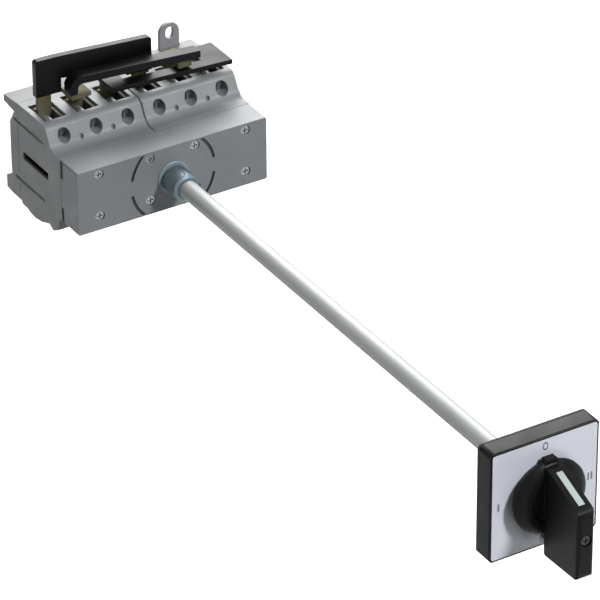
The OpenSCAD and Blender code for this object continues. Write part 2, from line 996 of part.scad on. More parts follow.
// One pinion tooth, pointing along +X of its own plane.
module pinion_tooth() {
    pressure = 24;
    rb = pinion_r * cos(pressure);
    tip = pinion_r + addendum;
    tip_roll = sqrt(pow(tip / rb, 2) - 1) * 180 / PI;
    pitch_roll = tan(pressure) * 180 / PI;
    pitch_angle = pitch_roll - pressure;
    half_tooth = 90 / pinion_teeth - 1.4;
    steps = 5;
    upper = [for (i = [0:steps]) turned(involute(rb, i * tip_roll / steps), -(half_tooth + pitch_angle))];
    lower = [for (i = [0:steps]) [upper[steps - i][0], -upper[steps - i][1]]];
    root = pinion_r - dedendum;
    polygon(concat([[root * 0.8, -rb * sin(half_tooth + pitch_angle)]], upper, lower,
        [[root * 0.8, rb * sin(half_tooth + pitch_angle)]]));
}

// Steel shaft: round in the bush, toothed behind the disc, with a thin journal at the end.
module drive_shaft() {
    color(zinc) {
        rod_y(shaft_r, shaft_joint_y, disc_y1 + 0.8);
        rod_y(journal_r, disc_y1 + 0.7, module_front - 0.4);
        along_y(slide_y0 - 0.5, plate_y0 - 0.3)
            union() {
                circle(pinion_r - dedendum, $fn = 40);
                for (i = [0:pinion_teeth - 1])
                    rotate(90 + i * 360 / pinion_teeth)
                        pinion_tooth();
            }
    }
}

// Detent disc with a notch for each of the three positions.
module detent_disc() {
    color(zinc)
        difference() {
            rod_y(disc_r, disc_y0, disc_y1);
            rod_y(shaft_r, disc_y0 - 1, disc_y1 + 1);
            for (a = [0, 90, 180, 270])
                rotate([0, a, 0])
                    translate([disc_r + 1, (disc_y0 + disc_y1) / 2, 0])
                        rotate([90, 0, 0])
                            cylinder(r = 2, h = 10, center = true);
        }
}

module shaft_coupling() {
    color([0.62, 0.68, 0.70])
        difference() {
            rotate([90, 0, 0])
                rotate_extrude()
                    polygon([
                        [shaft_r, -coupling_y1], [shaft_r, -coupling_y0], [coupling_r - 1.5, -coupling_y0],
                        [coupling_r, -coupling_y0 - 1.5], [coupling_r, -coupling_y1 + 1], [coupling_r - 1, -coupling_y1]
                    ]);
            for (a = [0, 90])
                translate([0, coupling_screw_y, 0])
                    rotate([0, a, 0])
                        cylinder(r = 2, h = 30);
        }
}

module coupling_screws() {
    color(zinc)
        for (a = [0, 90])
            translate([0, coupling_screw_y, 0])
                rotate([0, a, 0])
                    translate([0, 0, shaft_r])
                        difference() {
                            cylinder(r = 1.95, h = coupling_r - shaft_r - 0.3);
                            translate([0, 0, 1])
                                cylinder(r = 1.1, h = 5, $fn = 6);
                        }
}

// Long round shaft from the coupling to the handle.
module extension_shaft() {
    color(zinc)
        difference() {
            rotate([90, 0, 0])
                rotate_extrude()
                    polygon([
                        [0, -shaft_joint_y], [shaft_r, -shaft_joint_y], [shaft_r, -rod_tip - 1.5],
                        [shaft_r - 1.5, -rod_tip], [0, -rod_tip]
                    ]);
            translate([0, pin_y, 0])
                rod_x(pin_r, 40);
        }
}

module shaft_pin() {
    color(zinc)
        translate([0, pin_y, 0])
            rod_x(pin_r, 2 * drive_r - 0.6);
}

// Outline of the door plate's depth: straight sides, then a bevel to the front.
module plate_section() {
    h = plate_side / 2;
    polygon([
        [shell_back, -h], [shell_back, h], [plate_front + 1.2, h], [plate_front, h - 0.4],
        [plate_front, -h + 0.4], [plate_front + 1.2, -h]
    ]);
}

module door_plate() {
    wall = 2.6;
    floor_y = plate_front + face_t + 2.6;
    hole_spread = 27;
    color(black_plastic)
        difference() {
            union() {
                difference() {
                    intersection() {
                        along_x(plate_side)
                            plate_section();
                        rotate([0, 90, 0])
                            along_x(plate_side)
                                plate_section();
                        along_y(plate_front - 1, plate_back + 1)
                            round_rect(plate_side, plate_side, 3);
                    }
                    along_y(floor_y, plate_back + 1)
                        round_rect(plate_side - 2 * wall, plate_side - 2 * wall, 2);
                }
                rod_y(hub_r + 3, floor_y - eps, clip_y - 0.6);
                for (x = sides)
                    for (z = sides)
                        translate([x * hole_spread, 0, z * hole_spread])
                            rod_y(4.5, floor_y - eps, plate_back);
            }
            // Seat of the face plate.
            along_y(plate_front - 1, plate_front + face_t)
                round_rect(face_side + 0.1, face_side + 0.1, 2);
            rod_y(hub_r + run, plate_front - 5, plate_back + 5);
            for (x = sides)
                for (z = sides)
                    translate([x * hole_spread, 0, z * hole_spread])
                        rod_y(1.65, plate_back - 7, plate_back + 1);
        }
}

module face_plate() {
    color(silver_face)
        difference() {
            along_y(plate_front, plate_front + face_t)
                round_rect(face_side, face_side, 2);
            rod_y(hub_r + run, plate_front - 5, plate_front + 5);
        }
}

module door_gasket() {
    color([0.1, 0.1, 0.1])
        along_y(shell_back, plate_back)
            difference() {
                round_rect(plate_side, plate_side, 3);
                round_rect(plate_side - 5.2, plate_side - 5.2, 2);
            }
}

// Side outline of the grip, as (distance in front of the door plate, height).
module grip_outline() {
    f = grip_depth;
    polygon([
        [4, grip_top], [grip_slope, grip_top],
        [f - 4, grip_nose + 4 * (grip_top - grip_nose) / (f - grip_slope)], [f - 1.2, grip_nose - 0.6],
        [f, grip_nose - 3.6], [f, -31], [f - 0.9, -33.4], [f - 3.2, -34.5],
        [grip_back + 1, -35.5], [grip_back, -34.5], [grip_back, -20], [4, -20]
    ]);
}

// Plan outline of the grip from above: a flat blade with a rounded front edge.
module grip_plan() {
    r = 2.5;
    union() {
        translate([-grip_half_t, 0])
            square([2 * grip_half_t, grip_depth - r]);
        translate([-grip_half_t + r, 0])
            square([2 * grip_half_t - 2 * r, grip_depth]);
        for (s = sides)
            translate([s * (grip_half_t - r), grip_depth - r])
                circle(r);
    }
}

// Round knob base with the grip standing out of it.
module knob() {
    face_gap = 0.4;
    base_h = 9.5;
    color(black_plastic)
        difference() {
            union() {
                translate([0, plate_front, 0])
                    rotate([90, 0, 0])
                        rotate_extrude()
                            polygon([
                                [0, face_gap], [knob_d / 2 - 2.2, face_gap], [knob_d / 2, 4.4],
                                [knob_d / 2, 6], [knob_d / 2 - 1.4, 7.6], [knob_d / 2 - 4, 9],
                                [knob_d / 2 - 6.5, base_h], [knob_d / 2 - 9, base_h],
                                [knob_d / 2 - 10, 8.6], [0, 8.6]
                            ]);
                // Index nose on the rim.
                along_y(plate_front - 7, plate_front - 2)
                    polygon([[-6, 20], [6, 20], [3.5, knob_d / 2 + 2], [-3.5, knob_d / 2 + 2]]);
                translate([0, plate_front, 0])
                    intersection() {
                        mirror([0, 1, 0])
                            along_x(2 * grip_half_t)
                                grip_outline();
                        mirror([0, 1, 0])
                            translate([0, 0, -50])
                                linear_extrude(100)
                                    grip_plan();
                    }
                // Hub that turns in the door plate.
                rod_y(hub_r, plate_front - 1, plate_back - 1.6);
            }
            // Bore for the drive sleeve.
            rod_y(drive_r, sleeve_front - 0.1, plate_back + 5);
            // Groove for the retaining clip.
            difference() {
                rod_y(hub_r + 1, clip_y - 0.5, clip_y + 0.5);
                rod_y(hub_r - 1, clip_y - 1, clip_y + 1);
            }
            // Seat of the grip screw.
            translate([0, 0, grip_screw_z]) {
                rod_y(1.5, plate_front - grip_depth - 1, plate_front - 20);
                rod_y(3.6, plate_front - grip_depth - 1, plate_front - grip_depth + 2.5);
            }
            // Slot for the padlock tab.
            block([-tab_half_t - 0.2, plate_front - tab_front - 0.2, tab_bottom - 5],
                [tab_half_t + 0.2, plate_front - 5.2, tab_top + 0.2]);
            // Groove for the pointer inlay along the sloping top.
            pointer_cut(0.05, 2);
        }
}

// Strip along the grip's sloping top.
module pointer_cut(spare, up) {
    slope = atan2(grip_top - grip_nose, grip_depth - grip_slope);
    line_w = 4;
    line_len = 24.5;
    translate([0, plate_front - grip_slope, grip_top])
        rotate([slope, 0, 0])
            block([-line_w / 2 - spare, -line_len - 2 - spare, -0.6 - spare], [line_w / 2 + spare, -2 + spare, up]);
}

module pointer_inlay() {
    color("white")
        pointer_cut(0, 0.1);
}

// Steel sleeve in the knob; the shaft's cross pin slides in its two slots.
module drive_sleeve() {
    color(zinc)
        difference() {
            rod_y(drive_r - 0.02, sleeve_front, plate_back + 2);
            rod_y(shaft_r + 0.1, sleeve_front + 1.6, plate_back + 5);
            block([-30, pin_y - pin_r - 0.3, -pin_r - 0.15], [30, plate_back + 5, pin_r + 0.15]);
        }
}

module retaining_clip() {
    color(zinc)
        difference() {
            rod_y(hub_r + 2, clip_y - 0.4, clip_y + 0.4);
            rod_y(hub_r - 0.95, clip_y - 1, clip_y + 1);
            block([-4, plate_back - 5, -20], [4, plate_back, -8]);
        }
}

module grip_screw() {
    color(zinc)
        translate([0, plate_front - grip_depth + 2.5, grip_screw_z])
            screw_y(1.45, 2.9, 1.6, 14, true);
}

// Pull-out tab in the foot of the grip, with a hole for a padlock's shackle.
module padlock_tab() {
    color([0.66, 0.67, 0.67])
        translate([0, plate_front, 0])
            difference() {
                union() {
                    mirror([0, 1, 0])
                        along_x(2 * tab_half_t)
                            polygon([
                                [tab_front, tab_top], [tab_front, tab_bottom], [8.7, tab_bottom], [8.7, -31],
                                [5.4, -30], [5.4, -24], [8.7, -22.5], [8.7, tab_top]
                            ]);
                    // Thumb rest behind the grip.
                    block([-4.5, -8.2, -30], [4.5, -3, -25.8]);
                }
                translate([0, -14.5, -29.5])
                    rod_x(2.8, 10);
            }
}

left_housing();
right_housing();
left_base();
right_base();
base_screws();
mechanism_plate();
front_cover();
shaft_bush();
cover_screws();
upper_clamps();
lower_clamps();
upper_clamp_screws();
lower_clamp_screws();
upper_contacts();
lower_contacts();
rear_busbar();
middle_busbar();
front_busbar();
rear_bar_sleeve();
middle_bar_sleeve();
front_bar_sleeve();
mounting_ears();
detent_plungers();
detent_springs();
left_latch();
right_latch();
left_latch_spring();
right_latch_spring();
changeover_slide();
left_carriage();
right_carriage();
moving_bridges();
bridge_springs();
drive_shaft();
detent_disc();
shaft_coupling();
coupling_screws();
extension_shaft();
shaft_pin();
door_plate();
face_plate();
door_gasket();
knob();
pointer_inlay();
drive_sleeve();
retaining_clip();
grip_screw();
padlock_tab();
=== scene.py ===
"""Looks of a six-pole changeover switch with a long shaft and a door handle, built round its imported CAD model."""

import json
import math

import bmesh
import bpy
from mathutils import Matrix, Vector


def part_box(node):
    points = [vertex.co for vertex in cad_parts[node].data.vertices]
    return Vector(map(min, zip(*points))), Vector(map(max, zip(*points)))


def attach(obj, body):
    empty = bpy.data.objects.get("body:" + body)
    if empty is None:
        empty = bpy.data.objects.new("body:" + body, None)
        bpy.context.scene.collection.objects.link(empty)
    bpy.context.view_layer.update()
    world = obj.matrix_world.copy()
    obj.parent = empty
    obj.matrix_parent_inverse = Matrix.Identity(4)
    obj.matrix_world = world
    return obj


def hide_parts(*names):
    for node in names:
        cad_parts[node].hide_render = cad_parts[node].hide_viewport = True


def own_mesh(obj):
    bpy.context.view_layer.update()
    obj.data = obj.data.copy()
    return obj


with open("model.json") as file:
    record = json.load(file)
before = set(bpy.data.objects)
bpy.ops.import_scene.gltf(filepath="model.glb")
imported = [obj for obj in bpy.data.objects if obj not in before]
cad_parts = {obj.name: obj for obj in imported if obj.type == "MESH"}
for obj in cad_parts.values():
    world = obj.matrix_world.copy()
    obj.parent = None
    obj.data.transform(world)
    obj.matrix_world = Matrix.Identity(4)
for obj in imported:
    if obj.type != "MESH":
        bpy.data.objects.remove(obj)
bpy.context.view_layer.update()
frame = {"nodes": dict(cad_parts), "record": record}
nodes = frame["nodes"]
record = frame["record"]

MM = 0.001

# ---------------------------------------------------------------- camera
# A long lens, high to the left in front of the handle, as in the photograph.
VIEW_YAW = math.radians(31.21)
VIEW_TILT = math.radians(31.58)
VIEW_ROLL = math.radians(-0.35)
FOCAL_PX = 4822.9
FRAME_PX = 600
SENSOR_MM = 36
SHAFT_MOUTH = Vector((0, -0.093, 0))
SIDE_SHIFT = -0.07822
UP_SHIFT = 0.07615
DISTANCE = 2.9762


def place_camera():
    """Looks past the shaft's mouth, shifted until the switch lies in the frame as in the photograph."""
    level = math.cos(VIEW_TILT)
    forward = Vector((level * math.sin(VIEW_YAW), level * math.cos(VIEW_YAW), -math.sin(VIEW_TILT)))
    right = Vector((math.cos(VIEW_YAW), -math.sin(VIEW_YAW), 0))
    up = right.cross(forward)
    c, s = math.cos(VIEW_ROLL), math.sin(VIEW_ROLL)
    right, up = right * c + up * s, up * c - right * s
    spot = SHAFT_MOUTH - right * SIDE_SHIFT - up * UP_SHIFT - forward * DISTANCE
    data = bpy.data.cameras.new("photo_camera")
    data.sensor_width = SENSOR_MM
    data.lens = FOCAL_PX / FRAME_PX * SENSOR_MM
    data.clip_start, data.clip_end = 0.1, 60
    camera = bpy.data.objects.new("photo_camera", data)
    turn = Matrix((right, up, -forward)).transposed()
    camera.matrix_world = Matrix.Translation(spot) @ turn.to_4x4()
    bpy.context.scene.collection.objects.link(camera)
    bpy.context.scene.camera = camera


# ---------------------------------------------------------------- materials
# The noise nodes spread about 0.5; what they drive runs between these two.
NOISE_LOW, NOISE_HIGH = 0.3, 0.7
# The colour sockets of a Mix node.
MIX_A, MIX_B, MIX_RESULT = 6, 7, 2


class Nodes:
    """A node tree, with short calls that add nodes and join their sockets."""

    def __init__(self, tree):
        self.tree = tree
        self.tree.nodes.clear()

    def add(self, kind, **values):
        made = self.tree.nodes.new(kind)
        for key, value in values.items():
            setattr(made, key, value)
        return made

    def join(self, a, a_out, b, b_in):
        self.tree.links.new(a.outputs[a_out], b.inputs[b_in])

    def seen_by(self, *rays):
        """1 on the named kinds of rays, and 0 on all others."""
        path = self.add("ShaderNodeLightPath")
        node, out = path, rays[0]
        for ray in rays[1:]:
            either = self.add("ShaderNodeMath", operation="MAXIMUM")
            self.join(node, out, either, 0)
            self.join(path, ray, either, 1)
            node, out = either, "Value"
        return node


class Recipe(Nodes):
    """A finish: its material, its shader and what is laid on it."""

    def __init__(self, name):
        self.material = bpy.data.materials.new(name)
        self.material.use_nodes = True
        super().__init__(self.material.node_tree)
        self.shader = self.add("ShaderNodeBsdfPrincipled")
        self.join(self.shader, "BSDF", self.add("ShaderNodeOutputMaterial"), "Surface")
        self.place = self.add("ShaderNodeTexCoord")

    def noise(self, scale, detail, rough=0.5, stretch=(1, 1, 1)):
        mapping = self.add("ShaderNodeMapping")
        mapping.inputs["Scale"].default_value = stretch
        self.join(self.place, "Object", mapping, "Vector")
        made = self.add("ShaderNodeTexNoise")
        made.inputs["Scale"].default_value = scale
        made.inputs["Detail"].default_value = detail
        made.inputs["Roughness"].default_value = rough
        self.join(mapping, "Vector", made, "Vector")
        return made

    def between(self, noise, low, high):
        """The noise, stretched to run from low to high."""
        made = self.add("ShaderNodeMapRange")
        made.inputs["From Min"].default_value = NOISE_LOW
        made.inputs["From Max"].default_value = NOISE_HIGH
        made.inputs["To Min"].default_value = low
        made.inputs["To Max"].default_value = high
        self.join(noise, "Fac", made, "Value")
        return made

    def ramp(self, noise, stops):
        """The noise as a run of colours, each with its position."""
        made = self.add("ShaderNodeValToRGB")
        band = made.color_ramp
        for end in (0, -1):
            band.elements[end].position = stops[end][0]
            band.elements[end].color = (*stops[end][1], 1)
        for position, colour in stops[1:-1]:
            band.elements.new(position).color = (*colour, 1)
        self.join(noise, "Fac", made, "Fac")
        return made

    def drift(self, noise, dark, light):
        """The noise as a slow run from a dark tone to a light one."""
        return self.ramp(noise, [(NOISE_LOW, dark), (NOISE_HIGH, light)])

    def colour(self, node, out="Color"):
        """Gives the shader its colour, and keeps it at hand for what is laid over it."""
        self.under = (node, out)
        self.join(node, out, self.shader, "Base Color")

    def lay_over(self, colour, share, out):
        """Blends a plain colour over the shader's colour, by share."""
        mix = self.add("ShaderNodeMix", data_type="RGBA")
        self.join(share, out, mix, "Factor")
        self.join(*self.under, mix, MIX_A)
        mix.inputs[MIX_B].default_value = (*colour, 1)
        self.colour(mix, MIX_RESULT)

    def worn_edges(self, colour, amount):
        """Rubs patches of a colour on where a softened piece carries its edge attribute."""
        edge = self.add("ShaderNodeAttribute", attribute_name="edge")
        wear = self.add("ShaderNodeMath", operation="MULTIPLY")
        self.join(edge, "Fac", wear, 0)
        self.join(self.between(self.noise(90, 4), 0, amount), "Result", wear, 1)
        self.lay_over(colour, wear, "Value")

    def painted_seam_shade(self, colour):
        """Painted shade: turns to a dark colour where a piece carries its seam attribute, standing for the shade in
        a groove.
        """
        self.lay_over(colour, self.add("ShaderNodeAttribute", attribute_name="seam"), "Fac")

    def roughness(self, noise, rough):
        self.join(self.between(noise, *rough), "Result", self.shader, "Roughness")

    def grain(self, noise, strength, depth):
        made = self.add("ShaderNodeBump")
        made.inputs["Strength"].default_value = strength
        made.inputs["Distance"].default_value = depth
        self.join(noise, "Fac", made, "Height")
        self.join(made, "Normal", self.shader, "Normal")

    def set(self, socket, value):
        self.shader.inputs[socket].default_value = value


def shade(colour, factor):
    return tuple(min(1.0, c * factor) for c in colour)


def moulded_plastic(name, colour, rough=(0.42, 0.56), grain=900, depth=0.04 * MM, wear=0.25, gloss=0.5):
    """Grained thermoset: slow colour drift, fine grain in the surface, slightly rubbed edges."""
    r = Recipe(name)
    r.colour(r.drift(r.noise(22, 3), shade(colour, 0.95), shade(colour, 1.05)))
    r.worn_edges(shade(colour, 1.45), wear)
    # Painted shade in the seams, at 0.12 of the colour.
    r.painted_seam_shade(shade(colour, 0.12))
    r.roughness(r.noise(60, 4), rough)
    r.grain(r.noise(grain, 2, 0.6), 0.35, depth)
    r.set("IOR", 1.48)
    r.set("Specular IOR Level", gloss)
    return r.material


def plated_metal(
    name, colour, rough=(0.22, 0.36), brush=(1, 1, 1), grain=500, depth=0.02 * MM,
    variation=0.08, wear=0.3, metallic=1.0, rim=1.0,
):
    """Plated or bright metal, its grain drawn out along brush; rim dulls it where it turns away."""
    r = Recipe(name)
    r.colour(r.drift(r.noise(35, 4), shade(colour, 1 - variation), shade(colour, 1 + variation)))
    r.worn_edges(shade(colour, 1.3), wear)
    r.roughness(r.noise(140, 4, 0.6, brush), rough)
    r.grain(r.noise(grain, 3, 0.6, brush), 0.3, depth)
    r.set("Metallic", metallic)
    r.set("Specular Tint", (rim, rim, rim, 1))
    return r.material


def tinned_copper(name):
    """Rolled copper under a thin dull tin coat, brownish where it has worn and tarnished."""
    r = Recipe(name)
    tarnish, dull_tin, bright_tin = (0.08, 0.075, 0.045), (0.14, 0.135, 0.085), (0.20, 0.195, 0.135)
    r.colour(r.ramp(r.noise(70, 5, 0.6), [(0.3, tarnish), (0.55, dull_tin), (0.75, bright_tin)]))
    r.worn_edges((0.18, 0.12, 0.07), 0.5)
    r.roughness(r.noise(160, 4, 0.6, (1, 1, 0.15)), (0.55, 0.7))
    r.grain(r.noise(600, 3, 0.6, (1, 1, 0.1)), 0.3, 0.02 * MM)
    r.set("Metallic", 0.6)
    r.set("Specular Tint", (0.4, 0.4, 0.4, 1))
    return r.material


def shrunk_sleeve(name):
    """Black heat-shrunk sleeve: smooth, a little uneven where it has drawn down on the bar."""
    r = Recipe(name)
    r.colour(r.drift(r.noise(40, 3), (0.002, 0.0025, 0.002), (0.004, 0.005, 0.004)))
    r.worn_edges((0.03, 0.03, 0.03), 0.4)
    r.roughness(r.noise(55, 3), (0.28, 0.42))
    r.grain(r.noise(110, 3, 0.55, (0.35, 1, 1)), 0.5, 0.3 * MM)
    r.set("Specular IOR Level", 0.13)
    return r.material


def rubber_seal(name):
    """Black foam rubber with an open, matt skin."""
    r = Recipe(name)
    r.colour(r.drift(r.noise(300, 3), (0.012, 0.012, 0.012), (0.026, 0.026, 0.026)))
    r.roughness(r.noise(500, 2), (0.75, 0.9))
    r.grain(r.noise(1500, 2), 0.5, 0.1 * MM)
    return r.material


finishes = {
    "housing": moulded_plastic("grey_housing_moulding", (0.205, 0.215, 0.222)),
    "cover": moulded_plastic("grey_front_moulding", (0.200, 0.212, 0.222)),
    "base": moulded_plastic("grey_base_moulding", (0.190, 0.198, 0.203)),
    "bush": moulded_plastic("bush_moulding", (0.22, 0.27, 0.30), rough=(0.35, 0.45)),
    "screw_zinc": plated_metal("zinc_screw", (0.33, 0.35, 0.37), rough=(0.45, 0.6)),
    "mechanism_steel": plated_metal(
        "mechanism_steel", (0.42, 0.42, 0.41), rough=(0.3, 0.45), brush=(1, 1, 0.2)
    ),
    # Steel of the clamps, its colour darkened well below plated steel as painted shade for the terminal pockets
    # they sit in.
    "clamp_steel": plated_metal("clamp_steel", (0.10, 0.10, 0.095), rough=(0.6, 0.75), rim=0.4),
    "contact_copper": tinned_copper("bar_copper"),
    "bar_sleeve": shrunk_sleeve("black_bar_sleeve"),
    "ear_plastic": moulded_plastic("ear_moulding", (0.27, 0.27, 0.285)),
    "latch_plastic": moulded_plastic("latch_moulding", (0.02, 0.02, 0.02)),
    "spring_steel": plated_metal("spring_wire", (0.55, 0.55, 0.55)),
    "carriage_plastic": moulded_plastic("carriage_moulding", (0.52, 0.47, 0.36)),
    "coupling_metal": plated_metal(
        "coupling_casting", (0.14, 0.18, 0.20), rough=(0.5, 0.62), grain=900, depth=0.03 * MM
    ),
    "shaft_zinc": plated_metal(
        "bright_zinc_shaft", (0.40, 0.41, 0.41), rough=(0.50, 0.56), brush=(1, 0.06, 1),
        grain=900, depth=0.01 * MM, variation=0.04, metallic=0.45, rim=0.3,
    ),
    "handle_black": moulded_plastic(
        "black_handle_moulding", (0.005, 0.006, 0.005), rough=(0.36, 0.46),
        grain=1400, depth=0.03 * MM, wear=0.15, gloss=0.11,
    ),
    "plate_silver": plated_metal(
        "silver_face_film", (0.72, 0.75, 0.825), rough=(0.30, 0.36),
        grain=700, depth=0.001 * MM, variation=0.015, wear=0.1, metallic=0.08,
    ),
    "gasket_rubber": rubber_seal("seal_rubber"),
    "inlay_white": moulded_plastic(
        "white_inlay", (0.45, 0.505, 0.505), rough=(0.35, 0.45), grain=1500, depth=0.02 * MM
    ),
    "tab_steel": plated_metal("tab_steel", (0.50, 0.51, 0.52)),
}


def dress(obj, slot):
    """Gives an object the finish of a material slot."""
    obj.data.materials.clear()
    obj.data.materials.append(finishes[slot])


slot_of = {part["node"]: part["material_slot"] for part in record["subparts"]}
body_of = {node: body for body, names in record["behaviour"]["bodies"].items() for node in names}
for node, slot in slot_of.items():
    dress(nodes[node], slot)
nodes["grip_screw"].data.materials[0] = plated_metal("darkened_screw", (0.07, 0.07, 0.07), rough=(0.4, 0.5))


# ---------------------------------------------------------------- edges with room for a round
ROUNDED_FROM = math.radians(32)
SAME_PLANE = math.radians(0.7)
OPEN_EDGE_ANGLE = 3.0
SHORTEST_EDGE = 0.02 * MM
ROOM_ACROSS = 2.1  # widths from a rounded edge to the next border across its face
ROOM_AT_END = 1.3  # widths along an edge that a rounded one runs into
EDGE_SPOTS = (0.05, 0.5, 0.95)  # where along an edge its room is measured
TOUCHING = 1e-7


def room_beside(edge, face, border):
    """Distance from an edge across one of its faces to the border of the flat region there."""
    a, b = edge.verts[0].co, edge.verts[1].co
    along = (b - a).normalized()
    inward = face.normal.cross(along)
    loop = next(l for l in edge.link_loops if l.face is face)
    if loop.vert is not edge.verts[0]:
        inward = -inward
    nearest = 1.0
    for spot in EDGE_SPOTS:
        p = a.lerp(b, spot)
        for other, start, end in border:
            if other is edge:
                continue
            u, v = start - p, end - p
            ux, uy, vx, vy = u.dot(along), u.dot(inward), v.dot(along), v.dot(inward)
            if (ux > 0) != (vx > 0):
                hit = uy + (vy - uy) * ux / (ux - vx)
                if hit > TOUCHING:
                    nearest = min(nearest, hit)
    return nearest


def roomy(edge, width, chosen, borders):
    """True where a round of this width fits beside the edge and at both its ends."""
    if edge.calc_length() < SHORTEST_EDGE:
        return False
    if any(room_beside(edge, face, borders[face]) < ROOM_ACROSS * width for face in edge.link_faces):
        return False
    return not any(
        other not in chosen and other.calc_length() < ROOM_AT_END * width
        for vert in edge.verts for other in vert.link_edges
    )


def flat_regions(bm):
    """For each face, the border edges of the flat region it lies in."""
    borders = {}
    for start in bm.faces:
        if start in borders:
            continue
        border, members, queue = [], {start}, [start]
        while queue:
            face = queue.pop()
            for edge in face.edges:
                other = next((f for f in edge.link_faces if f is not face), None)
                if other is not None and edge.calc_face_angle(OPEN_EDGE_ANGLE) < SAME_PLANE:
                    if other not in members:
                        members.add(other)
                        queue.append(other)
                else:
                    border.append((edge, edge.verts[0].co.copy(), edge.verts[1].co.copy()))
        for face in members:
            borders[face] = border
    return borders


def round_over(bm, width):
    """Rounds over the sharp edges that have room for it; returns the new faces."""
    sharp = [e for e in bm.edges if len(e.link_faces) == 2 and e.calc_face_angle() > ROUNDED_FROM]
    chosen = set(sharp)
    borders = flat_regions(bm)
    edges = [e for e in sharp if roomy(e, width, chosen, borders)]
    if not edges:
        return []
    made = bmesh.ops.bevel(
        bm, geom=edges, offset=width, offset_type="OFFSET", segments=2, profile=0.5, affect="EDGES",
        clamp_overlap=False, loop_slide=True, material=-1,
    )
    return made["faces"]


# ---------------------------------------------------------------- softened pieces
HARD_FROM = math.radians(38)
NEARLY_FLAT = math.radians(0.6)
MERGE_GAP = 0.004 * MM
# Each housing's terminal wall stands above the ledge and in front of the base.
LEDGE_Z = 21.5 * MM
BASE_FRONT_Y = -18.1 * MM
BELOW_LEDGE = 0.5 * MM
# The V between the two walls: how far it reaches to each side, its depth, and its middle, which is painted dark as
# shade.
JOINT_REACH = 0.9 * MM
JOINT_DEPTH = 0.7 * MM
JOINT_HALF = 0.12 * MM
# How much of a face's normal points along the row of poles.
END_FACING, SKIN_FACING = 0.9, 0.3
# The round seam in the front moulding, painted dark as shade: its radii, and its depths behind the front.
SEAM_INNER, SEAM_OUTER = 26 * MM, 32 * MM
SEAM_TOP, SEAM_FLOOR = 0.3 * MM, 1.5 * MM
COVER_FRONT_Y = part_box("front_cover")[0][1]
# Widths of the rounds, in millimetres.
SOFT_WIDTHS = {
    "left_housing": 0.5, "right_housing": 0.5, "left_base": 0.5, "right_base": 0.5, "front_cover": 0.5,
    "rear_bar_sleeve": 0.45, "middle_bar_sleeve": 0.45, "front_bar_sleeve": 0.45,
    "mounting_ears": 0.5, "door_plate": 0.5, "knob": 0.6, "shaft_coupling": 0.4, "shaft_bush": 0.2,
    "rear_busbar": 0.3, "middle_busbar": 0.3, "front_busbar": 0.3,
    "left_latch": 0.3, "right_latch": 0.3, "face_plate": 0.2, "padlock_tab": 0.3,
}


def node_copy(node, gap):
    """A copy of a node's mesh with its loose triangles merged."""
    bm = bmesh.new()
    bm.from_mesh(nodes[node].data)
    bmesh.ops.remove_doubles(bm, verts=bm.verts, dist=gap)
    return bm


def drop_inner_sheet(bm):
    """Removes the sheet of faces left inside a piece where two of its solids lie face to face."""
    if not any(len(edge.link_faces) > 2 for edge in bm.edges):
        return
    sheets, done = [], set()
    for start in bm.faces:
        if start in done:
            continue
        sheet, queue = {start}, [start]
        while queue:
            for edge in queue.pop().edges:
                if len(edge.link_faces) == 2:
                    fresh = [f for f in edge.link_faces if f not in sheet]
                    sheet.update(fresh)
                    queue.extend(fresh)
        done |= sheet
        sheets.append(sheet)
    inner = min(sheets, key=lambda sheet: sum(face.calc_area() for face in sheet))
    bmesh.ops.delete(bm, geom=list(inner), context="FACES")
    bmesh.ops.recalc_face_normals(bm, faces=bm.faces)


def on_middle_joint(co):
    """Where the terminal walls of the two housings meet."""
    return abs(co.x) < JOINT_HALF and co.z > LEDGE_Z - BELOW_LEDGE and co.y < BASE_FRONT_Y


def in_round_seam(co):
    """Floor and walls of the round seam in the front moulding."""
    return SEAM_INNER < math.hypot(co.x, co.z) < SEAM_OUTER and SEAM_TOP < co.y - COVER_FRONT_Y < SEAM_FLOOR


def groove_joint(bm, side):
    """Bevels the terminal wall's edge at the middle, so that the two housings meet in a V."""
    middles = [(face, face.calc_center_median()) for face in bm.faces]
    wall = [face for face, middle in middles if middle.z > LEDGE_Z and middle.y < BASE_FRONT_Y]
    corners = [vert for face in wall for vert in face.verts]
    borders = [edge for face in wall for edge in face.edges]
    parts = list(dict.fromkeys([*wall, *borders, *corners]))
    bmesh.ops.bisect_plane(
        bm, geom=parts, dist=0.001 * MM, plane_co=(side * JOINT_REACH, 0, 0), plane_no=(1, 0, 0)
    )
    moves = []
    for vert in bm.verts:
        if not on_middle_joint(vert.co):
            continue
        ends = [f for f in vert.link_faces if abs(f.normal.x) > END_FACING]
        skin = [f for f in vert.link_faces if abs(f.normal.x) < SKIN_FACING]
        if ends and skin:
            inward = -sum((f.normal for f in skin), Vector()).normalized()
            moves.append((vert, inward * JOINT_DEPTH))
    for vert, move in moves:
        vert.co += Vector((0, move.y, move.z))


def mark_edges(bm, rounds):
    """Smooth shading with hard edges kept, and 1 in the edge layer along the middle of each round."""
    layer = bm.verts.layers.float.new("edge")
    for vert in bm.verts:
        if vert.link_faces and all(face in rounds for face in vert.link_faces):
            vert[layer] = 1.0
    for face in bm.faces:
        face.smooth = True
    for edge in bm.edges:
        edge.smooth = len(edge.link_faces) == 2 and edge.calc_face_angle() < HARD_FROM


def mark_painted_seam_shade(bm, inside):
    """1 in the seam layer at the corners that lie inside a seam, where the finish is painted dark as shade in the
    groove.
    """
    layer = bm.verts.layers.float.new("seam")
    for vert in bm.verts:
        if inside(vert.co):
            vert[layer] = 1.0


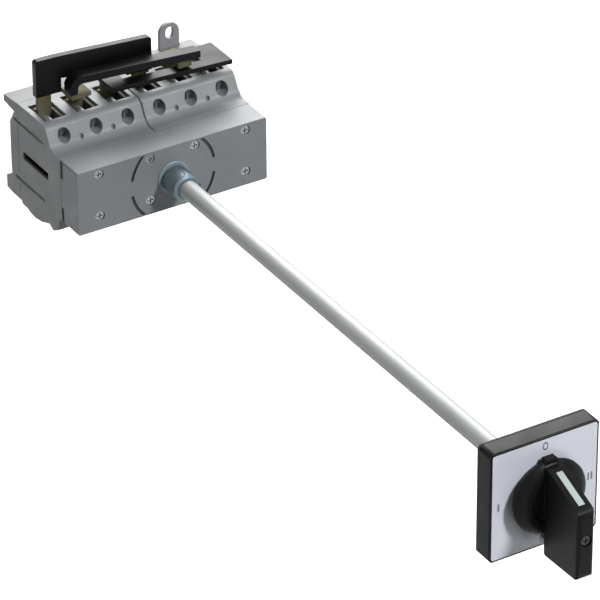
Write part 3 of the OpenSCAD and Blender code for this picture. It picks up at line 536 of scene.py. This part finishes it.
def finish_piece(bm, node, ending):
    """Puts a finished copy of a node into the scene in its place, on its body and with its finish."""
    mesh = bpy.data.meshes.new(node + ending)
    bm.to_mesh(mesh)
    bm.free()
    piece = bpy.data.objects.new(node + ending, mesh)
    bpy.context.scene.collection.objects.link(piece)
    dress(piece, slot_of[node])
    piece.modifiers.new("even_normals", "WEIGHTED_NORMAL").keep_sharp = True
    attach(piece, body_of[node])
    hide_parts(node)
    return piece


def soften(node, width):
    """A node's shape with its sharp edges rounded over, for moulded, sleeved and rolled parts."""
    bm = node_copy(node, MERGE_GAP)
    drop_inner_sheet(bm)
    bmesh.ops.dissolve_limit(bm, angle_limit=NEARLY_FLAT, verts=bm.verts, edges=bm.edges)
    if node.endswith("_housing"):
        groove_joint(bm, side=-1 if node.startswith("left") else 1)
    mark_edges(bm, set(round_over(bm, width * MM)))
    # Painted shade: the V between the housings and the round seam of the front moulding turn dark.
    if node.endswith("_housing"):
        mark_painted_seam_shade(bm, on_middle_joint)
    elif node == "front_cover":
        mark_painted_seam_shade(bm, in_round_seam)
    finish_piece(bm, node, "_softened")


for node, width in SOFT_WIDTHS.items():
    soften(node, width)


def closing_spring(node):
    """A latch spring, on the peg of its base, as a finished piece with a mesh of its own."""
    bm = node_copy(node, 0.001 * MM)
    mark_edges(bm, set())
    piece = finish_piece(bm, node, "_coils")
    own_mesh(piece)


closing_spring("left_latch_spring")
closing_spring("right_latch_spring")


# ---------------------------------------------------------------- marks on the face plate
MARK_X = 30.5 * MM
MARK_Z = 30.3 * MM
STROKE = 1.1 * MM
BAR_TALL = 5.0 * MM
PRINT_THICK = 0.06 * MM
RING_INNER = 1.9 * MM
RING_STEPS = 40
RING_STRETCH = (0.62, 1, 0.9)  # makes the ring an upright oval


def dial_marks():
    """One, off and two in thin print at the left, top and right of the knob."""
    bm = bmesh.new()
    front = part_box("face_plate")[0][1]
    for x in (-MARK_X, MARK_X - STROKE, MARK_X + STROKE):
        bar = bmesh.ops.create_cube(bm, size=1)["verts"]
        bmesh.ops.scale(bm, verts=bar, vec=(STROKE, PRINT_THICK, BAR_TALL))
        bmesh.ops.translate(bm, verts=bar, vec=(x, front - PRINT_THICK / 3, 0))
    outline = ((0, -PRINT_THICK), (0, 0), (STROKE, 0), (STROKE, -PRINT_THICK))
    corners = [bm.verts.new((RING_INNER + x, y, 0)) for x, y in outline]
    loop = [bm.edges.new((corners[k], corners[(k + 1) % 4])) for k in range(4)]
    bmesh.ops.spin(
        bm, geom=corners + loop, cent=(0, 0, 0), axis=(0, 1, 0), angle=math.tau, steps=RING_STEPS,
        use_merge=True,
    )
    ring = [v for v in bm.verts if v.co.length < 2 * (RING_INNER + STROKE)]
    bmesh.ops.scale(bm, verts=ring, vec=RING_STRETCH)
    bmesh.ops.translate(bm, verts=ring, vec=(0, front + 0.01 * MM, MARK_Z))
    bmesh.ops.remove_doubles(bm, verts=bm.verts, dist=0.001 * MM)
    bmesh.ops.recalc_face_normals(bm, faces=bm.faces)
    mesh = bpy.data.meshes.new("dial_marks")
    bm.to_mesh(mesh)
    bm.free()
    mesh.materials.append(
        moulded_plastic("dial_print", (0.17, 0.18, 0.22), rough=(0.4, 0.5), grain=1500, depth=0.01 * MM)
    )
    piece = bpy.data.objects.new("dial_marks", mesh)
    bpy.context.scene.collection.objects.link(piece)
    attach(piece, "door_unit")


dial_marks()


# ---------------------------------------------------------------- floor, world and lamps
FLOOR_Z = -300 * MM
FLOOR_HALF = 8
FLOOR_COLOUR = (0.72, 0.72, 0.72)
FLOOR_BOUNCE = 0.16  # share of the floor's colour that lights the part from below
FLOOR_GLOW = 0.3
WORLD_SEEN = 1.0
WORLD_LIGHT = 0.14
# Name, place, aim, size and power of each lamp.
SOFT_BOXES = (
    ("back_softbox", (0.75, 1.1, 0.95), (0, -0.15, 0), (1.5, 1.1), 44),
    ("key_softbox", (0.73, -1.82, 1.62), (0, -0.2, 0), (0.35, 0.35), 48),
    ("left_softbox", (-2.2, -0.2, 0.2), (0, -0.2, 0), (1.0, 1.0), 7),
)


def pale_surface(name, colour, bounce, glow):
    """Surface that the camera and gloss see as white and that keeps the object's shadow."""
    r = Recipe(name)
    seen = r.seen_by("Is Camera Ray", "Is Glossy Ray")
    mix = r.add("ShaderNodeMix", data_type="RGBA")
    r.join(seen, "Value", mix, "Factor")
    mix.inputs[MIX_A].default_value = (*shade(colour, bounce), 1)
    r.join(r.drift(r.noise(1.5, 3), shade(colour, 0.99), colour), "Color", mix, MIX_B)
    r.colour(mix, MIX_RESULT)
    lift = r.add("ShaderNodeMath", operation="MULTIPLY")
    r.join(seen, "Value", lift, 0)
    lift.inputs[1].default_value = glow
    r.join(lift, "Value", r.shader, "Emission Strength")
    r.set("Emission Color", (1, 1, 1, 1))
    r.roughness(r.noise(3, 3), (0.85, 0.95))
    return r.material


def lay_floor():
    bm = bmesh.new()
    bmesh.ops.create_grid(bm, x_segments=1, y_segments=1, size=FLOOR_HALF)
    bmesh.ops.translate(bm, verts=bm.verts, vec=(0, 0, FLOOR_Z))
    mesh = bpy.data.meshes.new("floor")
    bm.to_mesh(mesh)
    bm.free()
    mesh.materials.append(pale_surface("pale_floor", FLOOR_COLOUR, FLOOR_BOUNCE, FLOOR_GLOW))
    floor = bpy.data.objects.new("floor", mesh)
    bpy.context.scene.collection.objects.link(floor)


def light_world():
    """A world that the camera and gloss see as white, and that lights the part softly."""
    world = bpy.data.worlds.new("studio")
    bpy.context.scene.world = world
    world.use_nodes = True
    n = Nodes(world.node_tree)
    mix = n.add("ShaderNodeMixShader")
    n.join(n.seen_by("Is Camera Ray", "Is Glossy Ray", "Is Transmission Ray"), "Value", mix, 0)
    tones = ((0.97, 0.98, 1, 1), WORLD_LIGHT), ((1, 1, 1, 1), WORLD_SEEN)
    for place, (colour, strength) in enumerate(tones, start=1):
        background = n.add("ShaderNodeBackground")
        background.inputs["Color"].default_value = colour
        background.inputs["Strength"].default_value = strength
        n.join(background, "Background", mix, place)
    n.join(mix, 0, n.add("ShaderNodeOutputWorld"), "Surface")


def hang_soft_box(name, place, aim, size, power):
    data = bpy.data.lights.new(name, "AREA")
    data.shape = "RECTANGLE"
    data.size, data.size_y = size
    data.energy = power
    lamp = bpy.data.objects.new(name, data)
    lamp.location = place
    lamp.rotation_mode = "QUATERNION"
    lamp.rotation_quaternion = (Vector(aim) - Vector(place)).to_track_quat("-Z", "Y")
    bpy.context.scene.collection.objects.link(lamp)


place_camera()
lay_floor()
light_world()
for soft_box in SOFT_BOXES:
    hang_soft_box(*soft_box)
bpy.context.scene.view_settings.view_transform = "Standard"
